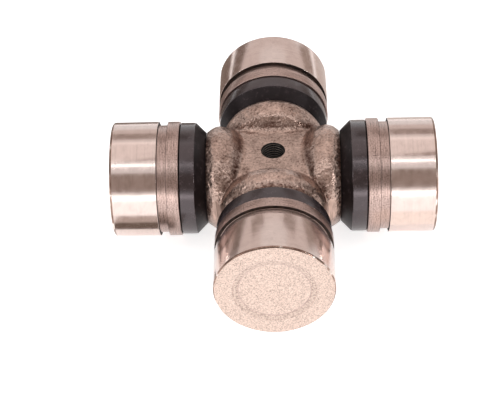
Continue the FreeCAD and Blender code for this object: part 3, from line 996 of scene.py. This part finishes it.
# Two cards behind and above the side cups that only a gloss sees, painting
# dark bands into the cups' reflections: name and reach along X, then the
# (y, z) of their upper and lower edges and their shade.
FAR_FLAGS = [("left_far_flag", -0.074, -0.03), ("right_far_flag", 0.03, 0.074)]
FAR_FLAG_TOP, FAR_FLAG_FOOT = (0.062, 0.098), (0.084, 0.075)
FAR_FLAG_SHADE = "#AFA19A"


def area_light(name, place, size, power):
    """Soft box at a place in metres that faces the object."""
    data = bpy.data.lights.new(name, "AREA")
    data.shape = "RECTANGLE"
    data.size, data.size_y = size
    data.energy = power
    lamp = bpy.data.objects.new(name, data)
    lamp.location = place
    lamp.rotation_euler = (-Vector(place)).to_track_quat("-Z", "Y").to_euler()
    lamp.visible_camera = False
    bpy.context.scene.collection.objects.link(lamp)


def seen_or_mirrored(tree):
    """1 for rays that show the background, straight or by gloss or glass."""
    path = add_node(tree, "ShaderNodeLightPath").outputs
    seen = add_math(tree, "MAXIMUM", path["Is Camera Ray"], path["Is Glossy Ray"])
    return add_math(tree, "MAXIMUM", seen, path["Is Transmission Ray"])


class CROSS_OT_stage(bpy.types.Operator):
    """Make the white floor, the soft light and the camera"""

    bl_idname = "cross.stage"
    bl_label = "Stage"

    def execute(self, context):
        scene = context.scene
        scene.view_settings.view_transform = "Standard"
        world = bpy.data.worlds.new("studio")
        scene.world = world
        world.use_nodes = True
        tree = world.node_tree
        tree.nodes.clear()
        strength = add_node(tree, "ShaderNodeMapRange", {"To Min": 0.55, "To Max": 1.0},
                            Value=seen_or_mirrored(tree))
        light = add_node(tree, "ShaderNodeBackground", {"Color": (1, 1, 1, 1)},
                         Strength=strength.outputs[0])
        add_node(tree, "ShaderNodeOutputWorld", Surface=light.outputs[0])

        floor_height = SOLID_BOX[0][2]
        reach = 3.0
        mesh = bpy.data.meshes.new("floor")
        corners = [(-reach, -reach), (reach, -reach), (reach, reach), (-reach, reach)]
        mesh.from_pydata([(x, y, floor_height) for x, y in corners], [], [(0, 1, 2, 3)])
        floor = bpy.data.objects.new("floor", mesh)
        scene.collection.objects.link(floor)
        mesh.materials.append(self.paper())

        area_light("key_light", (-0.1, 0.25, 1.2), (1.6, 0.9), 2.7)
        area_light("strip_light", (0.0, -0.36, 0.93), (1.4, 0.022), 0.7)
        area_light("front_light", (0.0, -1.0, 0.07), (1.8, 0.14), 2.2)
        area_light("left_glint", (-0.9, -0.5, 0.5), (0.09, 0.09), 0.8)
        area_light("right_glint", (0.9, -0.6, 0.45), (0.09, 0.09), 0.8)
        for name, elevation, azimuth, distance, size, shade in FLAGS:
            self.flag(name, elevation, azimuth, distance, size, shade)
        for name, x0, y0, x1, y1, shade, strength in UNDER_FLAGS:
            corners = [(x0, y0), (x1, y0), (x1, y1), (x0, y1)]
            self.card(name, [(x, y, UNDER_FLAG_HEIGHT) for x, y in corners], shade,
                      strength)
        for name, x0, x1 in FAR_FLAGS:
            self.card(name, [(x0, *FAR_FLAG_TOP), (x1, *FAR_FLAG_TOP),
                             (x1, *FAR_FLAG_FOOT), (x0, *FAR_FLAG_FOOT)],
                      FAR_FLAG_SHADE)
        place_camera()
        return {"FINISHED"}

    def flag(self, name, elevation, azimuth, distance, size, shade):
        """Grey card that only a gloss sees, so its reflection draws the dark
        bands round the cups, and it takes no light from the floor."""
        e, a = math.radians(elevation), math.radians(azimuth)
        centre = Vector((math.sin(a) * math.cos(e), -math.cos(a) * math.cos(e),
                         math.sin(e))) * distance
        aside = Vector((math.cos(a), math.sin(a), 0.0)) * size[0] / 2
        above = centre.cross(aside).normalized() * size[1] / 2
        corners = [centre - aside - above, centre + aside - above,
                   centre + aside + above, centre - aside + above]
        self.card(name, [tuple(c) for c in corners], shade)

    def card(self, name, corners, shade, strength=1.0):
        """One card of an even shade between four corners."""
        mesh = bpy.data.meshes.new(name)
        mesh.from_pydata(corners, [], [(0, 1, 2, 3)])
        material = new_material(name + "_card")
        glow = add_node(material.node_tree, "ShaderNodeEmission",
                        {"Color": linear(shade), "Strength": strength})
        add_node(material.node_tree, "ShaderNodeOutputMaterial", Surface=glow.outputs[0])
        mesh.materials.append(material)
        card = bpy.data.objects.new(name, mesh)
        bpy.context.scene.collection.objects.link(card)
        card.visible_camera = False
        card.visible_diffuse = False
        card.visible_shadow = False
        card.visible_transmission = False

    def paper(self):
        """White paper floor: lit and shadowed, and lifted to white for the
        rays that show it."""
        material = new_material("white_paper")
        tree = material.node_tree
        diffuse = add_node(tree, "ShaderNodeBsdfDiffuse", {"Color": linear("#F4F4F4")})
        lift = add_math(tree, "MULTIPLY", seen_or_mirrored(tree), 0.72)
        glow = add_node(tree, "ShaderNodeEmission", {"Color": (1, 1, 1, 1)},
                        Strength=lift)
        both = tree.nodes.new("ShaderNodeAddShader")
        tree.links.new(diffuse.outputs[0], both.inputs[0])
        tree.links.new(glow.outputs[0], both.inputs[1])
        add_node(tree, "ShaderNodeOutputMaterial", Surface=both.outputs[0])
        return material


class CROSS_PT_panel(bpy.types.Panel):
    """Buttons for the joint cross's pieces"""

    bl_idname = "CROSS_PT_panel"
    bl_label = "Joint Cross"
    bl_space_type = "VIEW_3D"
    bl_region_type = "UI"
    bl_category = "Joint Cross"

    def draw(self, context):
        for operator in OPERATORS:
            self.layout.operator(operator.bl_idname)
        for group in (context.scene.cross_sizes, context.scene.cross_colours):
            for key in group.bl_rna.properties.keys():
                if key not in ("rna_type", "name"):
                    self.layout.prop(group, key)


OPERATORS = (CROSS_OT_forging, CROSS_OT_cups, CROSS_OT_seals, CROSS_OT_bearings,
             CROSS_OT_stage)
CLASSES = (CrossSizes, CrossColours) + OPERATORS + (CROSS_PT_panel,)


def register():
    """Register the classes and their settings."""
    for item in CLASSES:
        bpy.utils.register_class(item)
    bpy.types.Scene.cross_sizes = PointerProperty(type=CrossSizes)
    bpy.types.Scene.cross_colours = PointerProperty(type=CrossColours)


def unregister():
    """Remove the classes and their settings."""
    del bpy.types.Scene.cross_colours
    del bpy.types.Scene.cross_sizes
    for item in reversed(CLASSES):
        bpy.utils.unregister_class(item)


def main():
    """Make every piece and the stage."""
    register()
    bpy.ops.cross.forging()
    bpy.ops.cross.cups()
    bpy.ops.cross.seals()
    bpy.ops.cross.bearings()
    bpy.ops.cross.stage()


if __name__ == "__main__":
    main()
